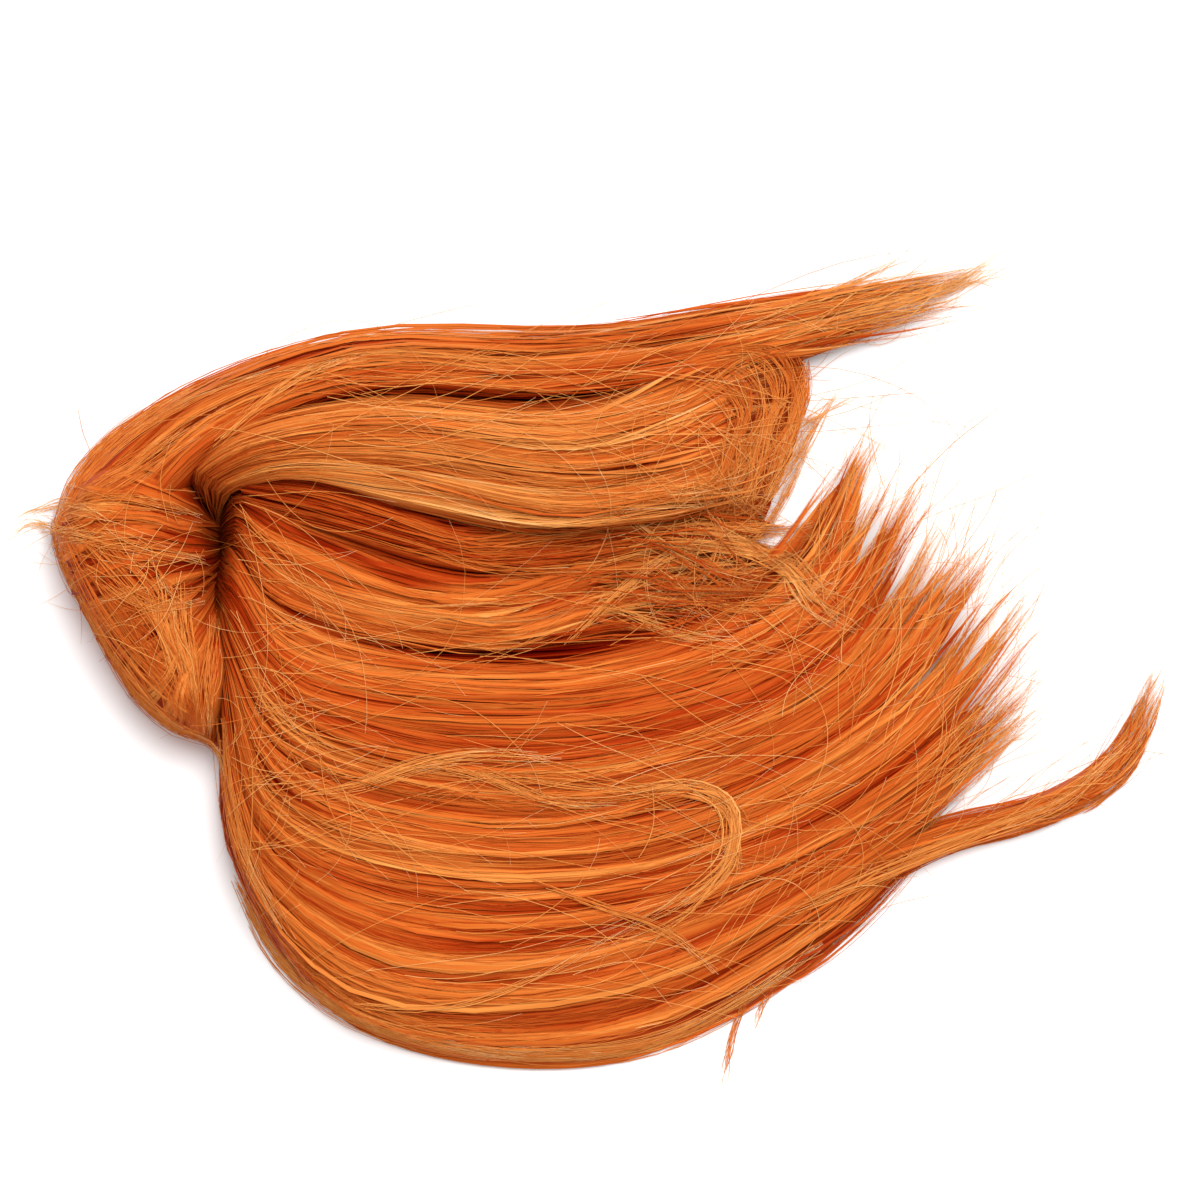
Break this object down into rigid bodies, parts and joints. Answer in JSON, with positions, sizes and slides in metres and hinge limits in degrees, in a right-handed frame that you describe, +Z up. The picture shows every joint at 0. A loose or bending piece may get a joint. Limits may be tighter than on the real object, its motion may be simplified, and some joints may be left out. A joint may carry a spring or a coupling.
{
  "type": "messy bun hairpiece",
  "caption": "Clip-free messy bun hairpiece: loose copper-orange tresses fanned out from an oval elastic band, lying flat.",
  "frame": {"origin": "middle of the elastic band's opening, on the surface that the hair lies on", "axes": "+X along the hair from the band to the tips, +Y across the fan towards the crest tress, +Z up"},
  "size_m": [0.2193, 0.1575, 0.0322],
  "materials": {
    "hair_copper": "silky synthetic fibre, reddish copper orange",
    "hair_gold": "silky synthetic fibre, golden copper orange",
    "elastic": "dark brown covered elastic"
  },
  "bodies": {
    "root": {"elastic_band": "elastic", "cuff_roll": "hair_copper", "arc_lock": "hair_gold", "loop_lock": "hair_gold", "wave_tress": "hair_gold", "crest_tress": "hair_gold", "swoop_tress": "hair_copper", "tail_lock": "hair_copper", "middle_fan": "hair_copper", "lower_fan": "hair_copper"}
  },
  "joints": []
}
